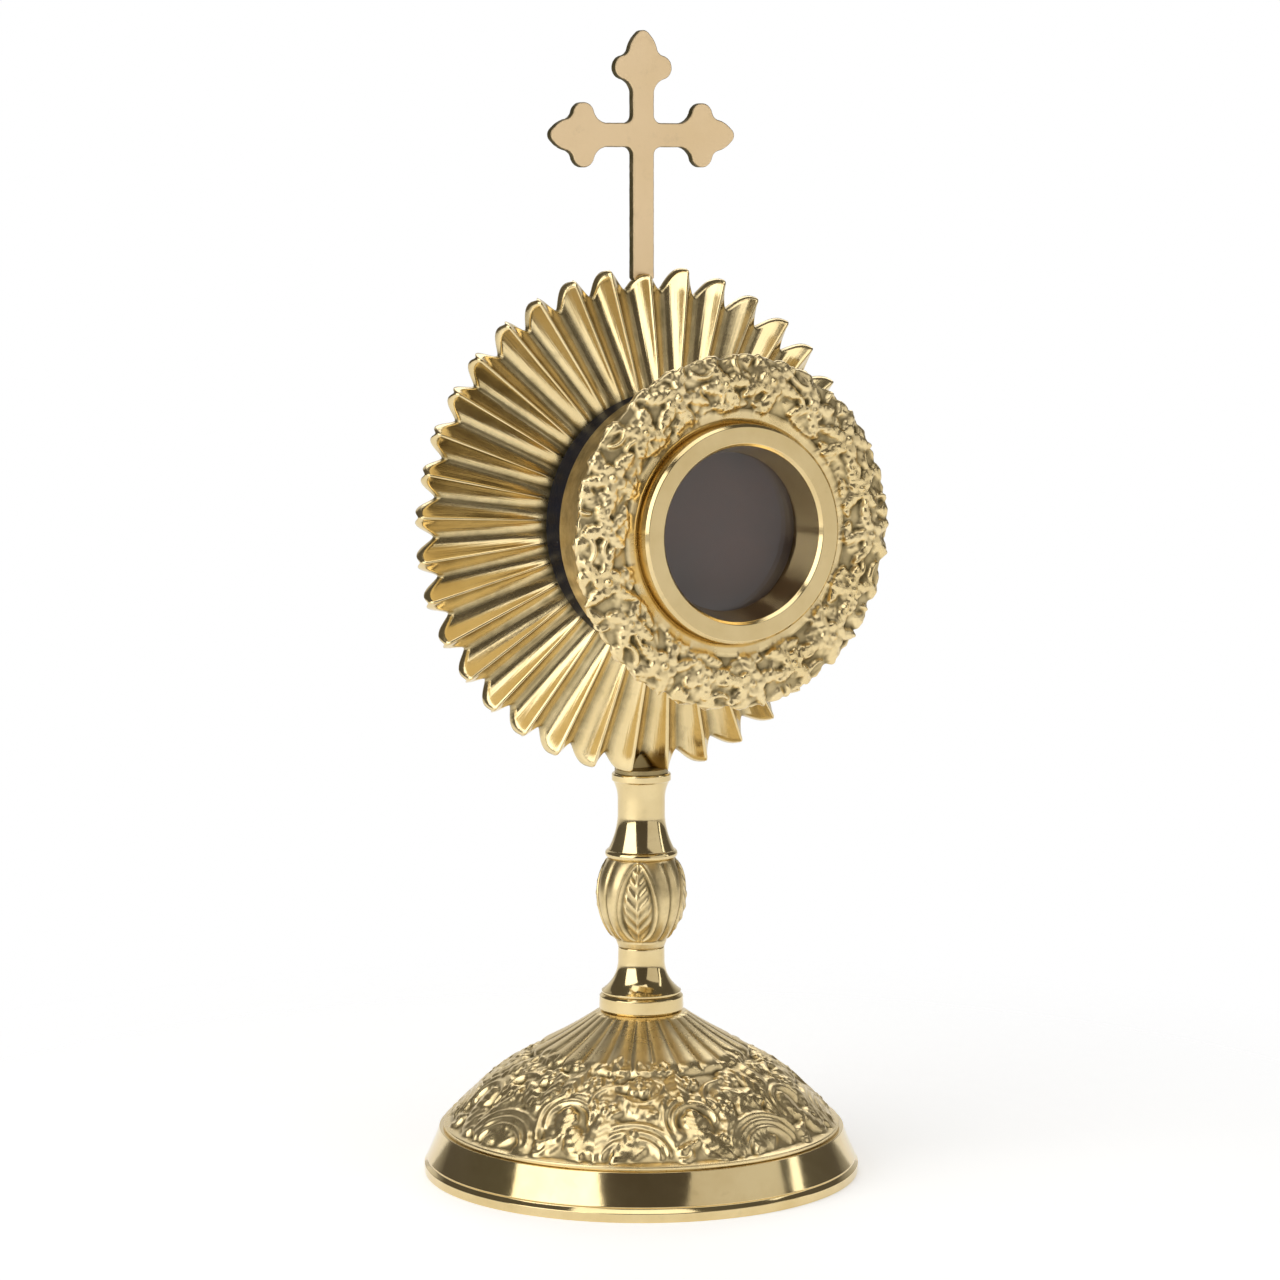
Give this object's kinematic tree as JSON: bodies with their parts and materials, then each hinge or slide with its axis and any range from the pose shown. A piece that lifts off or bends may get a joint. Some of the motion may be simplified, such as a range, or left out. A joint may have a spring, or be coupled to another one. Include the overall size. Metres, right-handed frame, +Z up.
{
  "type": "monstrance",
  "caption": "Small footed brass monstrance: rayed disc with a cross on top, glazed round case in an embossed ring, and a hinged rear door.",
  "frame": {"origin": "on the floor under the stem's axis, at the centre of the round foot", "axes": "+Z up, -Y the way the glazed window faces, +X to the right seen from the front"},
  "size_m": [0.1012, 0.0886, 0.23],
  "materials": {
    "polished_brass": "polished cast brass",
    "satin_brass": "satin-linished brass",
    "plated_steel": "zinc-plated steel",
    "black_rubber": "matt black rubber",
    "clear_glass": "clear flat glass",
    "mauve_cloth": "dark mauve-brown short-pile cloth"
  },
  "bodies": {
    "stand": {"base_rim": "polished_brass", "base_shell": "polished_brass", "base_washer": "plated_steel", "base_nut": "plated_steel", "tie_rod": "plated_steel", "stem_collar": "polished_brass", "stem_foot": "polished_brass", "stem_knop": "polished_brass", "stem_bead": "polished_brass", "stem_neck": "polished_brass", "head_boss": "polished_brass", "sunburst": "polished_brass", "cross": "satin_brass", "case_tube": "polished_brass", "lock_ring": "polished_brass", "black_band": "black_rubber", "ornate_ring": "polished_brass", "bezel_ring": "satin_brass", "front_glass": "clear_glass", "glass_gasket": "black_rubber", "backing_disc": "mauve_cloth", "retaining_ring": "plated_steel", "door_frame": "polished_brass", "hinge_bracket": "polished_brass", "hinge_pin": "polished_brass", "hinge_screws": "polished_brass", "latch_washer": "polished_brass", "latch_screw": "polished_brass"},
    "door": {"rear_door": "polished_brass", "door_strap": "polished_brass", "strap_rivets": "polished_brass", "door_lining": "mauve_cloth", "door_knob": "polished_brass"},
    "latch": {"latch_button": "polished_brass"}
  },
  "joints": [
    {"name": "door_hinge", "type": "hinge", "parent": "stand", "child": "door", "pos_m": [0.0286, 0.0076, 0.1332], "axis": [0, 0, -1], "range_deg": [0, 120]},
    {"name": "latch_turn", "type": "hinge", "parent": "stand", "child": "latch", "pos_m": [-0.0282, 0.0092, 0.1332], "axis": [0, -1, 0], "range_deg": [0, 90]}
  ]
}
